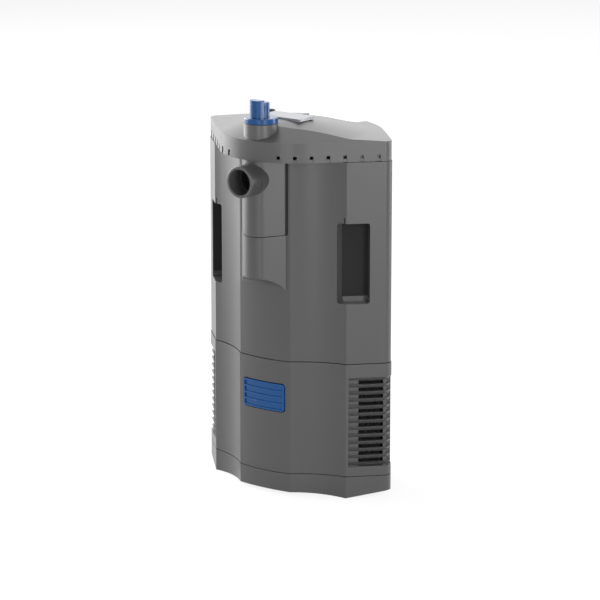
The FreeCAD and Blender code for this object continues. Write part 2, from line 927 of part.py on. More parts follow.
def upper_housing():
    low = housing_seam + half_seam
    top = lid_seam - half_seam / 2
    skin = ring("upper_wall", housing_face, upper_skin, upper_lining, low, top)
    tongue_low = housing_seam - size("tongue_depth")
    tongue_out = lower_lining - slip
    tongue = ring("upper_tongue", housing_face, tongue_out, tongue_out - size("tongue_wall"),
                  tongue_low, low + size("tongue_depth"))
    link = ring("tongue_link", housing_face, upper_lining + wall / 4, tongue_out - slip,
                low, low + size("tongue_depth"))
    rim_out = upper_skin - size("lid_step") - wall - slip
    rim = ring("upper_rim", housing_face, rim_out, rim_out - size("tongue_wall"),
               top - size("tongue_depth"), top + size("tongue_depth"))
    rim_link = ring("rim_link", housing_face, upper_lining + wall / 4, rim_out - slip,
                    top - size("tongue_depth"), top)
    deck_ledge = ring("deck_ledge", housing_face, upper_lining + wall / 4,
                      upper_lining - size("tongue_wall") * 2,
                      deck_low - wall, deck_low)
    prow_low = chin_low - wall
    prow_top = lid_seam - half_seam
    prow_out = cut("prow_outside", raised("prow_block", prow_face, prow_low, prow_top),
                   chin_cutter("chin", as_size(0)))
    prow_in = cut("prow_inside", slab("prow_core", prow_face, -wall, prow_low, prow_top + 1),
                  chin_cutter("chin_inner", wall))
    voids, liners = grip_pocket()
    liner_walls = common("liner_walls", [liners, slab(
        "liner_limit", housing_face, upper_skin - wall / 2, pocket_low - wall * 2,
        pocket_low + size("pocket_tall") + wall * 2)])
    duct_way = block("duct_way", (-duct_round - 2, duct_round + 2),
                     (-prow_peak, -nose_edge + wall * 3),
                     (duct_low - wall, top + size("tongue_depth") * 2))
    duct_clear = common("duct_clear", [duct_way, fuse("duct_room", [
        cut("prow_hollow", slab("prow_core_wide", prow_face, -wall, prow_low, top * 2),
            chin_cutter("chin_hollow", wall)),
        block("nose_room", (-nose_half, nose_half), (-nose_edge - slip,
              -nose_edge + wall * 3), (duct_low - wall, top * 2))])])
    body = fuse("upper_joined", [skin, tongue, link, rim, rim_link, deck_ledge, prow_out,
                                 liner_walls])
    hollow = fuse("upper_hollow", [prow_in_clear(prow_in), voids, duct_clear,
                                   seam_cutter("plate_opening", as_size(0))]
                  + cup_holes("upper", cup_high))
    node("upper_housing", cut("upper_housing", body, hollow))


def prow_in_clear(core):
    """The hollow of the prow, kept in front of the nose wall."""
    front = block("prow_front", (-nose_half, nose_half),
                  (-prow_peak, -nose_edge + slip),
                  (chin_low, lid_seam))
    behind = slab("nose_block", housing_face, upper_skin, chin_low, lid_seam)
    return cut("prow_cavity", common("prow_space", [core, front]), behind)


# Outlet plate with the spout


def outlet_plate():
    low = plate_low - size("plate_droop") * 2
    top = lid_seam - half_seam
    outer = raised("plate_block", prow_face, low, top)
    inner = slab("plate_core", prow_face, -wall, low - 1, top + 1)
    shell = cut("plate_shell", outer, inner)
    half = prow_half - size("plate_trim")
    front = -prow_peak
    trim = block("plate_trim", (-half, half), (front, -prow_root + wall), (low, top))
    above = seam_cutter("plate_edge", -size("plate_seam"))
    plate = common("plate_wall", [shell, trim, above])
    height = spout_height
    mouth = -spout_mouth
    line = -column_line
    shoulder = -prow_peak + size("prow_round") * (prow_flank / prow_half - 1) - size("shoulder_lead")
    tube = front_pipe("spout_tube", size("spout_round"), mouth, line, height)
    tube = softened("spout_edge", tube, wall / 4, lambda e, m: m.y < mouth.value + 0.01)
    root = front_pipe("spout_root", size("spout_round") + size("spout_shoulder"), shoulder, line, height)
    spout = cut("spout_outside", fuse("spout_stem", [tube, root]),
                slab("spout_core", prow_face, -wall, low - 1, top + 1))
    bore = fuse("spout_ways", [
        front_pipe("spout_bore_cut", size("spout_bore"), mouth - 1, line, height),
        front_pipe("seal_seat_cut", size("spout_bore") + size("seal_seat"), shoulder, line, height)])
    node("outlet_plate", cut("outlet_plate", fuse("plate_joined", [plate, spout]), bore))
    fit = slip / 6
    seal_round = size("spout_bore") + size("seal_seat") - fit
    seal = cut("outlet_seal",
               cut("seal_ring", front_pipe("seal_outside", seal_round, shoulder + slip, line, height),
                   front_pipe("seal_inside", seal_round - size("seal_wall"), mouth, line + 1, height)),
               post("seal_saddle", duct_round + fit, low, top, 0.0, line))
    node("outlet_seal", seal)


# Lid


def turned_profile(name, points, bends, angle, start_angle):
    """A profile in radius and height, turned about the Z axis."""
    face = sketch(name + "_profile", points, bends, FRONT_VIEW)
    item = add("Part::Revolution", name)
    item.Source = face
    item.Axis = UP
    item.Angle = angle
    item.Solid = True
    item.Placement = Placement(Vector(), Rotation(UP, start_angle))
    return item


def above_dome(name, lift):
    """Everything above the crown: a round cap, a slope, and a flatter skirt."""
    top = tower_top + wall * 2
    peak = dome_top
    cap = size("dome_cap")
    drop = size("dome_cap_drop")
    reach = side_x + wall
    tool = turned_profile(name, [
        (0, peak),
        (cap, peak - drop),
        (size("dome_foot"), peak - size("dome_foot_drop")),
        (size("dome_skirt"), peak - size("dome_skirt_drop")),
        (reach, peak - size("dome_side_drop")),
        (reach, top),
        (0, top),
    ], {0: ((cap * cap + drop * drop) / (drop * 2), -1), 2: (size("dome_blend"), 1)}, 360.0, 0.0)
    move(tool, 0.0, -size("dome_line"), lift)
    return tool


def scoop_points(radius_to_rim):
    """The hollow between the front rim and the crest, drawn inwards from the rim."""
    top = tower_top + wall * 2
    reach = size("scoop_reach")
    rim = scoop_rim
    return [
        (radius_to_rim - reach, rim + size("scoop_rise")),
        (radius_to_rim, rim),
        (radius_to_rim + wall * 2, rim - wall / 4),
        (radius_to_rim + wall * 2, top),
        (radius_to_rim - reach, top),
    ]


def above_scoop(name, lift):
    """Everything above the scoop, along the front arc and both straight edges."""
    quarter = turned_profile(name + "_front", scoop_points(lid_round), {}, RIGHT_ANGLE,
                             -RIGHT_ANGLE * 3 / 2)
    move(quarter, 0.0, lid_round - lid_front, lift)
    run = side_x * 3 / 4
    parts = [quarter]
    for side in (1, -1):
        label = name + ("_right" if side > 0 else "_left")
        straight = sketch(label + "_profile", scoop_points(lid_round), {}, FRONT_VIEW)
        item = add("Part::Extrusion", label)
        item.Base = straight
        item.DirMode = "Custom"
        item.Dir = Vector(0, side, 0)
        item.Solid = True
        bind(item, "LengthFwd", run)
        item.Placement = Placement(Vector(), Rotation(UP, -RIGHT_ANGLE + side * RIGHT_ANGLE / 2))
        move(item, 0.0, lid_round - lid_front, lift)
        parts.append(item)
    return parts


def cap_slope(reach):
    """The fall of the crown from its peak to a distance on its upper slope."""
    share = (reach - size("dome_cap")) / (size("dome_foot") - size("dome_cap"))
    fall = size("dome_foot_drop") - size("dome_cap_drop")
    return size("dome_cap_drop") + fall * share


def lid_cover():
    low = lid_seam + half_seam / 2
    high = tower_top + wall
    step = upper_skin - size("lid_step")
    crown = cut("lid_crown", slab("lid_block", lid_face, step, low, high),
                fuse("above_crown", [above_dome("above_dome", as_size(0))]
                     + above_scoop("above_scoop", as_size(0))))
    soffit = low + wall * 4 / 5
    core = slab("lid_core", lid_face, step - wall, soffit, high)
    lining = cut("lid_lining", core, fuse("above_lining", [
        above_dome("lining_dome", -wall)] + above_scoop("lining_scoop", -wall)))
    mouth = slab("lid_mouth", housing_face, step - wall, low - 1, soffit + 1)
    prow_way = common("lid_prow_way", [
        block("lid_prow_box", (-nose_half, nose_half), (-prow_peak, -nose_edge
              + wall * 3), (low - 1, soffit + 1)),
        slab("lid_prow_core", prow_face, -wall * 2, low - 2, soffit + 2)])
    tower_line = -column_line
    tower = post("tower", size("tower_round"), scoop_rim - wall * 3, tower_top,
                 0.0, tower_line)
    tower_core = post("tower_core", size("tower_round") - wall, low, tower_top - wall * 2,
                      0.0, tower_line)
    spindle_hole = post("spindle_hole", size("spindle_round") + size("spindle_slip") + slip,
                        low, high, 0.0, tower_line)
    seal_seat = post("seal_seat", size("spindle_round") * 2 - slip, low,
                     tower_top - wall, 0.0, tower_line)
    hub = post("tower_hub", size("spindle_round") * 2 + wall, tower_top - wall * 4,
               tower_top - wall / 2, 0.0, tower_line)
    shell = cut("lid_shell", fuse("lid_solid", [crown, tower]),
                fuse("lid_hollow", [lining, mouth, prow_way, tower_core]))
    screw_posts = []
    for index, (x, y) in enumerate(screw_places()):
        foot = post("lid_post_foot_%d" % index, size("screw_head"), motor_top + slip,
                    soffit, x, y)
        rise = common("lid_post_rise_%d" % index, [crown, post(
            "lid_post_%d" % index, size("screw_head"), soffit - wall, high, x, y)])
        screw_posts += [foot, rise]
    hub_ring = cut("hub_ring", hub, tower_line_void(low))
    solid = fuse("lid_fused", [shell, hub_ring] + screw_posts)
    drill = [post("lid_screw_hole_%d" % index, size("screw_round"), motor_top - 1,
                  motor_top + wall * 4, x, y)
             for index, (x, y) in enumerate(screw_places())]
    gland_hole = post("gland_hole", size("gland_round") / 2 + slip, low, high,
                      -size("gland_side"), size("gland_back"))
    openings = fuse("lid_openings", windows() + drill + [spindle_hole, seal_seat, gland_hole,
                                                         badge_recess()])
    node("lid_cover", cut("lid_cover", solid, openings))


def tower_line_void(low):
    return post("hub_void", size("spindle_round"), low, tower_top, 0.0,
                -column_line)


def window_places():
    """Points and outward directions at an even pitch along the right front edge."""
    straight_end = lid_tangent.value
    first = size("window_first").value
    pitch = size("window_pitch").value
    radius = lid_round.value
    middle = radius - lid_front.value
    places = []
    for index in range(int(size("window_count").value)):
        travel = pitch * index
        x = first - travel * HALF_ROOT
        if x >= straight_end:
            places.append((x, x - lid_diagonal.value, -45.0))
        else:
            past = travel - (first - straight_end) / HALF_ROOT
            angle = math.radians(45.0) - past / radius
            places.append((radius * math.sin(angle), middle - radius * math.cos(angle),
                           math.degrees(angle) - RIGHT_ANGLE))
    return places


def windows():
    """Small openings through the skirt, each above a shallow groove down to the edge."""
    cuts = []
    opening = size("window_size")
    centre = window_centre
    groove = size("window_groove")
    deep = wall * 2
    for side in (1, -1):
        for index, (x, y, turn) in enumerate(window_places()):
            label = "%s_%d" % ("right" if side > 0 else "left", index)
            spin = turn if side > 0 else -HALF_TURN - turn
            low = lid_seam - 1
            for name, wide, inner, bottom, top in (
                    ("window_" + label, opening, deep + groove, centre - opening / 2,
                     centre + opening / 2),
                    ("groove_" + label, opening + groove, groove + wall / 2, low,
                     centre - opening / 2)):
                item = add("Part::Box", name)
                bind(item, "Length", inner + wall)
                bind(item, "Width", wide)
                bind(item, "Height", top - bottom)
                turned = Rotation(UP, spin)
                step = upper_skin.value - size("lid_step").value
                inward = groove if "groove" in name else inner
                offset = turned.multVec(Vector(step - inward.value, -wide.value / 2, 0))
                item.Placement = Placement(Vector(side * x + offset.x, y + offset.y,
                                                  bottom.value), turned)
                cuts.append(item)
    return cuts


def badge_block(name, margin, low, thick):
    item = add("Part::Box", name)
    bind(item, "Length", size("badge_long") + margin * 2)
    bind(item, "Width", size("badge_wide") + margin * 2)
    bind(item, "Height", thick)
    move(item, -size("badge_long") / 2 - margin, -size("badge_line") - size("badge_wide") / 2
         - margin, low)
    return item


def badge_recess():
    return badge_block("badge_recess", size("slip") / 3,
                       badge_height - size("badge_thick") / 2, size("badge_thick") * 4)


def badge_plate():
    body = badge_block("badge_body", as_size(0), badge_height - size("badge_thick") / 2
                       + slip / 10, size("badge_thick"))
    node("badge_plate", softened("badge_plate", body, size("badge_thick") / 2,
                                 lambda e, m: is_upright_loose(e)))


def is_upright_loose(edge):
    ends = [vertex.Point for vertex in edge.Vertexes]
    run = ends[-1] - ends[0]
    return len(ends) == 2 and abs(run.z) > abs(run.x) + abs(run.y)


def cable_gland():
    """The rubber bush where the cable leaves the lid."""
    x = -size("gland_side")
    y = size("gland_back")
    across = x
    along = y + size("dome_line")
    height = dome_top - cap_slope((across * across + along * along).root())
    slope = (size("dome_foot_drop") - size("dome_cap_drop")) / (size("dome_foot") - size("dome_cap"))
    seat = height + size("gland_round") * slope + slip / 10
    top = seat.value
    body = post("gland_neck", size("gland_round") / 2, height - wall * 2, seat + wall, x, y)
    cap = post("gland_cap", size("gland_round"), seat, seat + size("gland_tall"), x, y)
    cap = softened("gland_cap_round", cap, size("gland_round") / 3,
                   lambda e, m: m.z > top + size("gland_tall").value - 0.01)
    hole = post("gland_bore", size("gland_round") / 3, height - wall * 3,
                seat + size("gland_tall") + 1, x, y)
    node("cable_gland", cut("cable_gland", fuse("gland_body", [body, cap]), hole))


# Flow knob and regulator


def flow_knob():
    base = tower_top + slip
    line = -column_line
    flange_top = base + size("knob_flange")
    flange = post("knob_disc", size("knob_round"), base, flange_top, 0.0, line)
    flange = softened("knob_disc_round", flange, size("knob_flange") / 5,
                      lambda e, m: m.z > flange_top.value - 0.01)
    front = -size("grip_front")
    step = -size("grip_step")
    half = size("grip_half")
    fin_half = size("fin_half")
    foot = flange_top - slip
    end_round = half * 5 / 4
    grip = raised("grip_block", sketch("grip_plan", [
        (-half, step), (-half, front + half / 2), (half, front + half / 2), (half, step),
    ], {1: (end_round, 1)}), foot, flange_top + size("grip_tall"))
    fin = raised("fin_block", sketch("fin_plan", [
        (-fin_half, step - slip), (fin_half, step - slip),
        (fin_half, size("grip_back")), (-fin_half, size("grip_back")),
    ], {2: (fin_half * 5 / 4, 1)}), foot, flange_top + size("fin_tall"))
    flutes = []
    reach = size("grip_back") + size("grip_step")
    for side in (-1, 1):
        for share in (1, 2):
            flutes.append(post("flute_%d_%d" % (side + 1, share), size("flute_round"), flange_top,
                               flange_top + size("grip_tall"), fin_half * side,
                               step + reach * share / 3))
    handle = cut("grip_handle", fuse("grip_bar", [grip, fin]), group("grip_flutes", flutes))
    bind(handle, "Placement.Base.y", line)
    seat = post("knob_socket", size("spindle_round") + size("spindle_slip") / 2, base - 1,
                flange_top + slip, 0.0, line)
    node("flow_knob", cut("flow_knob", fuse("knob_body", [flange, handle]), seat))


shutter_round = duct_round - size("duct_wall") - size("shutter_slip")
shutter_top = duct_top - size("duct_wall") - slip
shutter_low = spout_height - size("spout_bore") - wall


def regulator_spindle():
    line = -column_line
    shaft = post("spindle_shaft", size("spindle_round"), shutter_top + slip / 10,
                 tower_top + size("knob_flange"), 0.0, line)
    collar = post("spindle_collar", size("spindle_round") + wall / 2,
                  duct_top + slip, duct_top + wall, 0.0, line)
    node("regulator_spindle", fuse("regulator_spindle", [shaft, collar]))
    seal_high = tower_top - wall - slip
    seal = cut("spindle_seal",
               post("spindle_seal_outside", size("spindle_round") * 2 - slip * 2,
                    seal_high - wall, seal_high, 0.0, line),
               post("spindle_seal_inside", size("spindle_round") + size("spindle_slip"),
                    seal_high - wall * 2, seal_high + 1, 0.0, line))
    node("spindle_seal", seal)


def regulator_shutter():
    """A sleeve with a window that turns in front of the spout."""
    line = -column_line
    sleeve = cut("shutter_sleeve",
                 post("shutter_outside", shutter_round, shutter_low, shutter_top, 0.0, line),
                 post("shutter_inside", shutter_round - size("shutter_wall"), shutter_low - 1,
                      shutter_top - size("shutter_wall"), 0.0, line))
    window = front_pipe("shutter_window", size("spout_bore") * 4 / 5,
                        line - duct_round, line, spout_height)
    node("regulator_shutter", cut("regulator_shutter", sleeve, window))


# Outlet duct


def outlet_duct():
    line = -column_line
    outer = duct_round
    bore = outer - size("duct_wall")
    low = duct_low
    top = duct_top
    pump_front = size("pump_line") - size("volute_round")
    column = post("duct_column", outer, low, top, 0.0, line)
    branch = front_pipe("duct_branch", size("outlet_round") + size("duct_wall"), line,
                        pump_front - slip, outlet_height)
    hollow = fuse("duct_hollow", [
        post("duct_bore", bore, low + size("duct_wall"), top - size("duct_wall"), 0.0, line),
        front_pipe("duct_port", size("spout_bore") * 4 / 5, line - outer * 2, line,
                   spout_height),
        front_pipe("duct_inlet", size("outlet_round"), line, pump_front + 1,
                   outlet_height),
        post("duct_spindle_hole", size("spindle_round") + size("spindle_slip"), top - wall * 2,
             top + 1, 0.0, line)])
    node("outlet_duct", cut("outlet_duct", fuse("duct_body", [column, branch]), hollow))


# Pump


def screw_places():
    side = size("motor_half") - size("screw_inset")
    middle = size("pump_line")
    return [(x, middle + y) for x in (-side, side) for y in (-side, side)]


def motor_block():
    half = size("motor_half")
    middle = size("pump_line")
    low = volute_top + slip
    top = motor_top
    body = softened("motor_body", block("motor_box", (-half, half), (middle - half, middle + half),
                    (low + wall * 2, top)), wall * 2, lambda e, m: is_upright(e))
    flange = post("motor_flange", size("volute_round"), low, low + wall * 3, 0.0, middle)
    well = size("rotor_round") + size("rotor_gap")
    well_top = low + size("rotor_tall") + wall * 3
    holes = [post("motor_well", well, low - 1, well_top, 0.0, middle),
             post("motor_bush_seat", size("bush_round") + slip / 10, well_top - 1,
                  well_top + size("bush_tall"), 0.0, middle)]
    for index, (x, y) in enumerate(screw_places()):
        holes.append(post("motor_screw_hole_%d" % index, size("screw_round") + slip, top - wall * 5,
                          top + 1, x, y))
        holes.append(post("motor_screw_seat_%d" % index, size("screw_head") + slip,
                          low, top - wall * 2, x, y))
    node("motor_block", cut("motor_block", fuse("motor_solid", [body, flange]),
                            fuse("motor_holes", holes)))
    screws = []
    for index, (x, y) in enumerate(screw_places()):
        shank_low = top - wall * 2 - slip
        screws.append(fuse("screw_%d" % index, [
            post("screw_shank_%d" % index, size("screw_round") - slip / 10, shank_low,
                 top + wall * 3, x, y),
            post("screw_head_%d" % index, size("screw_head"), shank_low - wall, shank_low, x, y)]))
    node("motor_screws", group("motor_screws", screws))
    dampers = []
    for index, (x, y) in enumerate(screw_places()):
        dampers.append(cut("damper_%d" % index,
                           post("damper_out_%d" % index, size("screw_head"), top + slip / 10,
                                top + slip * 9 / 10, x, y),
                           post("damper_in_%d" % index, size("screw_round") + slip / 3, top - 1,
                                top + wall, x, y)))
    node("pump_dampers", group("pump_dampers", dampers))
    return well_top


def volute():
    middle = size("pump_line")
    low = volute_low
    top = volute_top
    outer = size("volute_round")
    shell = size("volute_wall")
    body = post("volute_body", outer, low, top, 0.0, middle)
    pipe = front_pipe("volute_pipe", size("outlet_round") - slip, middle - outer - wall * 2,
                      middle - outer + wall, outlet_height)
    chamber = post("volute_chamber", outer - shell, low + shell, top + 1, 0.0, middle)
    inlet = post("volute_inlet", size("inlet_round"), low - 1, top, 0.0, middle)
    port = front_pipe("volute_port", size("outlet_round") - shell, middle - outer - wall * 3,
                      middle, outlet_height)
    shell_part = cut("volute_shell", fuse("volute_solid", [body, pipe]),
                     fuse("volute_hollow", [chamber, inlet, port]))
    hub = post("volute_hub", size("bush_round") + shell, low, low + size("bush_tall"), 0.0, middle)
    arms = []
    count = 3
    for index in range(count):
        arm = add("Part::Box", "volute_arm_%d" % index)
        bind(arm, "Length", size("inlet_round") + shell / 2)
        bind(arm, "Width", shell)
        bind(arm, "Height", shell)
        angle = 360.0 * index / count + RIGHT_ANGLE
        turned = Rotation(UP, angle)
        shift = turned.multVec(Vector(0, -shell.value / 2, 0))
        arm.Placement = Placement(Vector(shift.x, middle.value + shift.y, low.value), turned)
        arms.append(arm)
    seat = post("volute_bush_seat", size("bush_round") + slip / 10, low - 1, top, 0.0, middle)
    spider = cut("volute_spider", fuse("volute_spokes", [hub] + arms), seat)
    node("volute", fuse("volute", [shell_part, spider]))
    seal = cut("volute_seal",
               post("volute_seal_out", outer - shell / 4, top + slip / 10,
                    top + slip * 9 / 10, 0.0, middle),
               post("volute_seal_in", outer - shell, top - 1, top + 1, 0.0, middle))
    node("volute_seal", seal)


def rotor(well_top):
    middle = size("pump_line")
    bush_low = volute_low
    bush_high = well_top + slip / 10
    for name, low in (("lower_bush", bush_low + slip / 10), ("upper_bush", bush_high)):
        bush = cut(name, post(name + "_body", size("bush_round"), low,
                              low + size("bush_tall") - slip / 3, 0.0, middle),
                   post(name + "_bore", size("shaft_round") + size("shaft_slip") / 5, low - 1,
                        low + size("bush_tall") + 1, 0.0, middle))
        node(name, bush)
    shaft = post("rotor_shaft", size("shaft_round"), bush_low + slip,
                 well_top + size("bush_tall") - slip, 0.0, middle)
    node("rotor_shaft", shaft)
    magnet_low = volute_top + wall
    bore = size("shaft_round") + size("shaft_slip")
    magnet_high = magnet_low + size("rotor_tall")
    magnet = cut("rotor_magnet", post("magnet_body", size("rotor_round"), magnet_low,
                                      magnet_high, 0.0, middle),
                 post("magnet_bore", bore + wall, magnet_low - 1, magnet_high + 1, 0.0, middle))
    node("rotor_magnet", magnet)
    impeller(magnet_low, magnet_high, bore)


def origin_plane(body, role):
    for feature in body.Origin.OriginFeatures:
        if feature.Role == role:
            return feature
    raise ValueError(role)


def circle_sketch(body, name, radii, height):
    """Concentric circles on the body's own ground plane, raised to a height."""
    plan = body.newObject("Sketcher::SketchObject", name)
    plan.AttachmentSupport = [(origin_plane(body, "XY_Plane"), "")]
    plan.MapMode = "FlatFace"
    plan.setExpression("AttachmentOffset.Base.z", height.text)
    for index, radius in enumerate(radii):
        plan.addGeometry(Part.Circle(Vector(), UP, radius.value))
        plan.addConstraint(Sketcher.Constraint("Coincident", index, 3, -1, 1))
        number = plan.addConstraint(Sketcher.Constraint("Radius", index, radius.value))
        plan.setExpression("Constraints[%d]" % number, radius.text)
    return plan


def pad(body, name, plan, length):
    item = body.newObject("PartDesign::Pad", name)
    item.Profile = plan
    bind(item, "Length", length)
    return item


def impeller(magnet_low, magnet_high, bore):
    """Backplate, sleeve through the magnet and curved blades, turned as one body."""
    body = document.addObject("PartDesign::Body", "impeller")
    tall = size("impeller_tall")
    low = volute_low + size("volute_wall") + size("bush_tall") - size("volute_wall") + wall
    sleeve_round = bore + wall - size("shaft_slip")
    plate = size("blade_thick")
    sleeve_plan = circle_sketch(body, "impeller_sleeve_plan", [sleeve_round, bore], as_size(0))
    pad(body, "impeller_sleeve", sleeve_plan, magnet_high - low)
    plate_plan = circle_sketch(body, "impeller_plate_plan", [size("impeller_round"), bore],
                               tall - plate)
    pad(body, "impeller_plate", plate_plan, plate)
    blade_plan = body.newObject("Sketcher::SketchObject", "impeller_blade_plan")
    blade_plan.AttachmentSupport = [(origin_plane(body, "XY_Plane"), "")]
    blade_plan.MapMode = "FlatFace"
    inner = sleeve_round - plate / 2
    outer = size("impeller_round") - plate / 2
    half = plate / 2
    corners = [(inner, -half), (outer, -half), (outer, half), (inner, half)]
    for index in range(4):
        start = Vector(corners[index][0].value, corners[index][1].value, 0)
        following = corners[(index + 1) % 4]
        blade_plan.addGeometry(Part.LineSegment(start, Vector(following[0].value,
                                                              following[1].value, 0)))
    for index in range(4):
        blade_plan.addConstraint(Sketcher.Constraint("Coincident", index, 2, (index + 1) % 4, 1))
        for axis, length in zip("XY", corners[index]):
            reach = Sketcher.Constraint("Distance" + axis, -1, 1, index, 1, length.value)
            number = blade_plan.addConstraint(reach)
            blade_plan.setExpression("Constraints[%d]" % number, length.text)
    blade = pad(body, "impeller_blade", blade_plan, tall - plate / 2)
    document.recompute()
    pattern = body.newObject("PartDesign::PolarPattern", "impeller_blades")
    pattern.Originals = [blade]
    pattern.Axis = (origin_axis(body), [""])
    pattern.Angle = 360.0
    pattern.Occurrences = int(size("blade_count").value)
    body.Tip = pattern
    move(body, 0.0, size("pump_line"), low)
    node("impeller", body)


def origin_axis(body):
    for feature in body.Origin.OriginFeatures:
        if feature.Role == "Z_Axis":
            return feature
    raise ValueError("Z_Axis")


def suction_strainer():
    """A slotted cage that stands on the deck under the pump's inlet."""
    middle = size("pump_line")
    low = deck_low + size("deck_thick") + slip
    top = volute_low - slip / 10
    outer = size("strainer_round")
    cage = cut("strainer_cage", post("strainer_out", outer, low, top, 0.0, middle),
               post("strainer_in", outer - wall, low - 1, top - wall, 0.0, middle))
    neck = post("strainer_neck", size("inlet_round"), low + wall, top + 1, 0.0, middle)
    slots = []
    count = int(size("strainer_slots").value)
    for index in range(count):
        slot = add("Part::Box", "strainer_slot_%02d" % index)
        bind(slot, "Length", outer * 2)
        bind(slot, "Width", wall)
        bind(slot, "Height", top - low - wall * 4)
        turned = Rotation(UP, 360.0 * index / count)
        shift = turned.multVec(Vector(0, -wall.value / 2, 0))
        slot.Placement = Placement(Vector(shift.x, middle.value + shift.y, 0), turned)
        bind(slot, "Placement.Base.z", low + wall * 2)
        slots.append(slot)
    node("suction_strainer", cut("suction_strainer", cage, fuse("strainer_voids", slots + [neck])))


def deck_and_foams():
    low = deck_low + slip / 10
    top = deck_low + size("deck_thick")
    deck = slab("deck_plate", housing_face, upper_lining - slip, low, top)
    middle = size("pump_line")
    hole = post("deck_hole", size("strainer_round") - wall * 2, low - 1, top + 1, 0.0, middle)
    slots = []
    for index in range(-3, 4):
        x = size("strainer_round") * index
        if index != 0:
            slots.append(block("deck_slot_%d" % (index + 3), (x - wall, x + wall),
                               (-size("corner_line") + wall * 2, notch_floor - wall * 4),
                               (low - 1, top + 1)))
    node("pump_deck", cut("pump_deck", deck, fuse("deck_holes", [hole] + slots)))
    foam_line = lower_lining - size("tongue_wall") - slip - size("foam_gap")
    grid_low = housing_seam - size("tongue_depth") + slip
    grid_top = grid_low + wall
    grid_plate = slab("grid_plate", housing_face, foam_line, grid_low, grid_top)
    bars = []
    for index in range(-4, 5):
        x = size("grille_pitch") * 2 * index
        bars.append(block("grid_slot_%02d" % (index + 4), (x - wall, x + wall),
                          (-size("corner_line") + wall, notch_floor - wall * 3),
                          (grid_low - 1, grid_top + 1)))
    node("foam_grid", cut("foam_grid", grid_plate, fuse("grid_slots", bars)))
    fine_top = deck_low - wall - size("foam_gap")
    node("fine_foam", slab("fine_foam", housing_face, foam_line, grid_top + slip, fine_top))
    coarse_low = size("foot_floor") + wall + slip
    coarse_top = housing_seam - size("tongue_depth") - wall * 2
    coarse = slab("coarse_block", housing_face, foam_line, coarse_low, coarse_top)
    room = size("foam_gap")
    keep_out = block("coarse_relief", (-size("chamber_half") - room, size("chamber_half") + room),
                     (-nose_front, -chamber_back + size("button_travel")
                      + wall + room),
                     (button_low - wall * 2 - room, coarse_top + 1))
    node("coarse_foam", cut("coarse_foam", coarse, keep_out))


# Suction cups on the back faces


def suction_cup(name):
    """A cup facing the tank wall squarely, with its stud through the housing wall."""
    outer = size("cup_round")
    stud = size("cup_stud")
    stand = size("cup_standoff")
    end = stand + wall * 2
    profile = sketch(name + "_profile", [
        (0, wall / 2),
        (outer - wall, wall / 4),
        (outer, 0),
        (stud + wall / 2, wall * 2),
        (stud, stand),
        (stud, end),
        (0, end),
    ], {2: (outer * 2, -1)}, FRONT_VIEW)
    cup = add("Part::Revolution", name)
    cup.Source = profile
    cup.Axis = UP
    cup.Angle = 360.0
    cup.Solid = True
    return cup


def face_cup(item, side, height):
    """Sets a piece square to a back face, at the place of a cup."""
    item.Placement = Placement(Vector(), Rotation(UP, Vector(-side, -1, 0)))
    across = size("cup_side")
    along = side_x + side_y - across + size("cup_standoff") * ROOT_TWO
    move(item, across * side, along, height)
    return item


def cup_holes(label, height):
    holes = []
    for side in (1, -1):
        hole = add("Part::Cylinder", "%s_cup_hole_%s" % (label, "right" if side > 0 else "left"))
        bind(hole, "Radius", size("cup_stud") + slip / 3)
        bind(hole, "Height", size("cup_standoff") + wall * 3)
        holes.append(face_cup(hole, side, height))
    return holes


def suction_cups(label, height):
    items = []
    for side in (1, -1):
        cup = suction_cup("%s_%s" % (label, "right" if side > 0 else "left"))
        items.append(face_cup(cup, side, height))
    node(label, group(label, items))


foot_cover()
lower_housing()
release_button()
button_spring()
upper_housing()
outlet_plate()
lid_cover()
badge_plate()
cable_gland()
flow_knob()
regulator_spindle()
regulator_shutter()
outlet_duct()
motor_well_top = motor_block()
volute()
rotor(motor_well_top)
suction_strainer()
deck_and_foams()
suction_cups("lower_suction_cups", cup_low)
suction_cups("upper_suction_cups", cup_high)

document.recompute()
faults = []
for item in document.Objects:
    if "Invalid" in item.State or "Error" in item.State:
        faults.append("%s is %s" % (item.Name, item.State))
for item in nodes:
    if item.Shape.isNull() or not item.Shape.Solids or not item.Shape.isValid():
        faults.append("%s has no valid shape" % item.Label)
if faults:
    raise RuntimeError("; ".join(faults))

os.makedirs("parts", exist_ok=True)
for item in nodes:
    item.Shape.exportStep("parts/%s.step" % item.Label)
    print(item.Label, len(item.Shape.Solids), round(item.Shape.Volume))
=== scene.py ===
import json
import math

import bpy
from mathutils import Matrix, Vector, noise


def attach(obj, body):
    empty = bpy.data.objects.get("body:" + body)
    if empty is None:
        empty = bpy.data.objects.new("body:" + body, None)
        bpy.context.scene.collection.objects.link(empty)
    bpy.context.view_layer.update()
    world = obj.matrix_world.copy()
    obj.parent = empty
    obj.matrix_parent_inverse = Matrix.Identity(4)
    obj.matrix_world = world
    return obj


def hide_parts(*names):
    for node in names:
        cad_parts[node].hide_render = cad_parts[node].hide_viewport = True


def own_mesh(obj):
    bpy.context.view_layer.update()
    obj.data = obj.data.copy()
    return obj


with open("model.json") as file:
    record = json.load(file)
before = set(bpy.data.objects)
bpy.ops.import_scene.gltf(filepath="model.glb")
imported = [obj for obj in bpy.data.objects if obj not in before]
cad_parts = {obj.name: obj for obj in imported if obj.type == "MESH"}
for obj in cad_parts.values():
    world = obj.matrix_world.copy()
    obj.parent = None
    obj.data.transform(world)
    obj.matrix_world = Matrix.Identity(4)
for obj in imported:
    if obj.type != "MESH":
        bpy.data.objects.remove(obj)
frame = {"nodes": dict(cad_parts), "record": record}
scene = bpy.context.scene
nodes = frame["nodes"]
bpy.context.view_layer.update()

# Camera, at the photograph's angle and height

